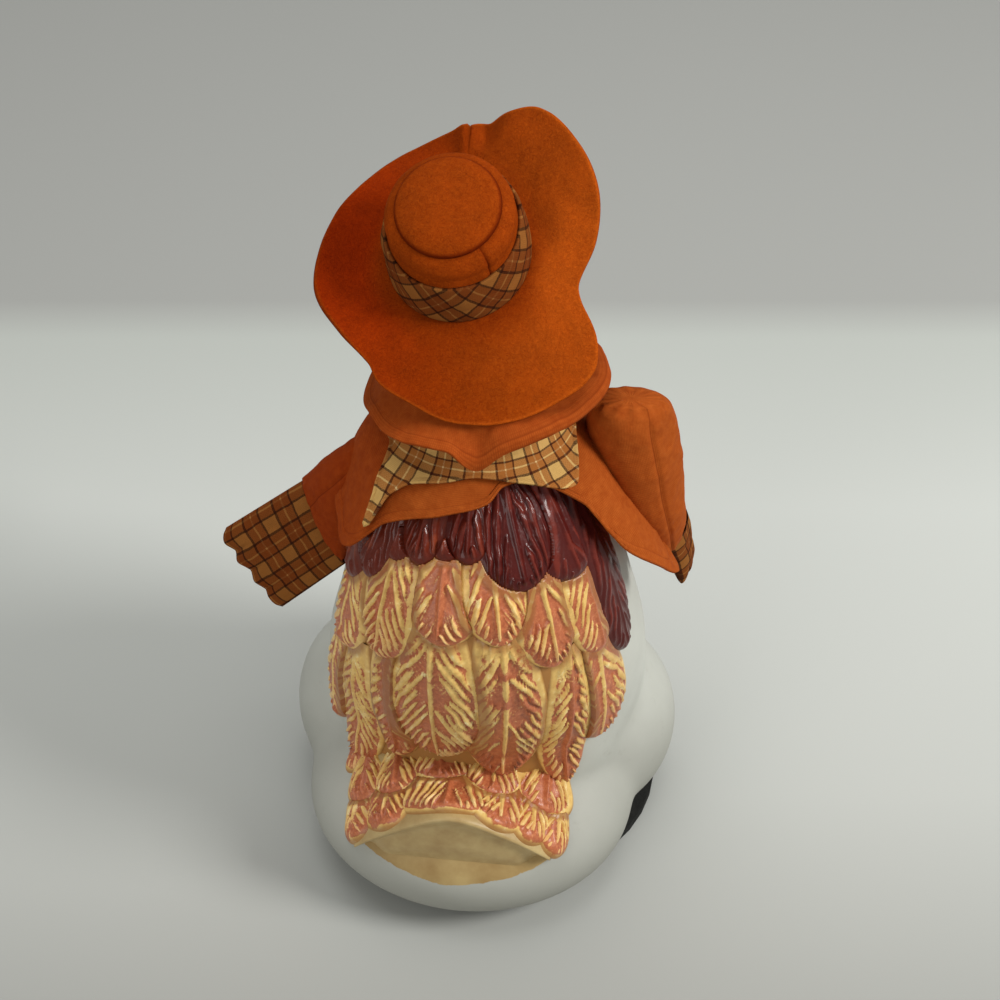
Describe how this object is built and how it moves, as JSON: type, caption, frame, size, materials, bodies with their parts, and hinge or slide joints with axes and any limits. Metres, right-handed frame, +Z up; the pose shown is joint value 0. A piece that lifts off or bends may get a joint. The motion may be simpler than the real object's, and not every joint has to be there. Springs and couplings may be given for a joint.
{
  "type": "ceramic duck figurine",
  "caption": "Standing ceramic duck with feathers in relief, a square tail, a floppy felt hat and a cotton coat with a plaid collar and stuffed wing mitts.",
  "frame": {"origin": "middle of the base on the surface that it stands on", "axes": "+Z up, -Y the way the duck faces, +X the duck's left"},
  "size_m": [0.1261, 0.1304, 0.2137],
  "materials": {
    "base_felt": "dark grey felt, matt",
    "white_clay": "matt white paint on fired clay",
    "orange_clay": "satin orange paint on fired clay",
    "eye_glaze": "gloss black",
    "maroon_glaze": "gloss maroon",
    "cream_glaze": "satin cream with rust dry-brushed barbs",
    "orange_cotton": "plain weave cotton",
    "plaid_cotton": "plain weave cotton in a tan and brown plaid",
    "orange_felt": "soft felt"
  },
  "bodies": {
    "figure": {"base_pad": "base_felt", "body_casting": "white_clay", "head": "white_clay", "bill_upper": "orange_clay", "bill_lower": "orange_clay", "eye_left": "eye_glaze", "eye_right": "eye_glaze", "foot_left": "orange_clay", "foot_right": "orange_clay", "cape_feathers": "maroon_glaze", "upper_feathers": "cream_glaze", "lower_feathers": "cream_glaze", "tail_root_feathers": "cream_glaze", "tail_tip_feathers": "cream_glaze", "tail": "cream_glaze", "coat": "orange_cotton", "plaid_collar": "plaid_cotton", "neck_ruff": "orange_cotton"},
    "left_arm": {"sleeve_left": "orange_cotton", "mitt_left": "plaid_cotton"},
    "right_arm": {"sleeve_right": "orange_cotton", "mitt_right": "plaid_cotton"},
    "hat": {"hat_brim": "orange_felt", "hat_crown_side": "orange_felt", "hat_crown_tip": "orange_felt", "hat_band": "plaid_cotton"}
  },
  "joints": [
    {"name": "left_shoulder", "type": "hinge", "parent": "figure", "child": "left_arm", "pos_m": [0.03106, 0.00968, 0.13692], "axis": [1, 0, 0], "range_deg": [-40, 10]},
    {"name": "right_shoulder", "type": "hinge", "parent": "figure", "child": "right_arm", "pos_m": [-0.0311, 0.00968, 0.13724], "axis": [1, 0, 0], "range_deg": [-40, 0]},
    {"name": "hat_lift", "type": "slide", "parent": "figure", "child": "hat", "axis": [0.0578, 0.5592, 0.827], "range_m": [0, 0.06]}
  ]
}
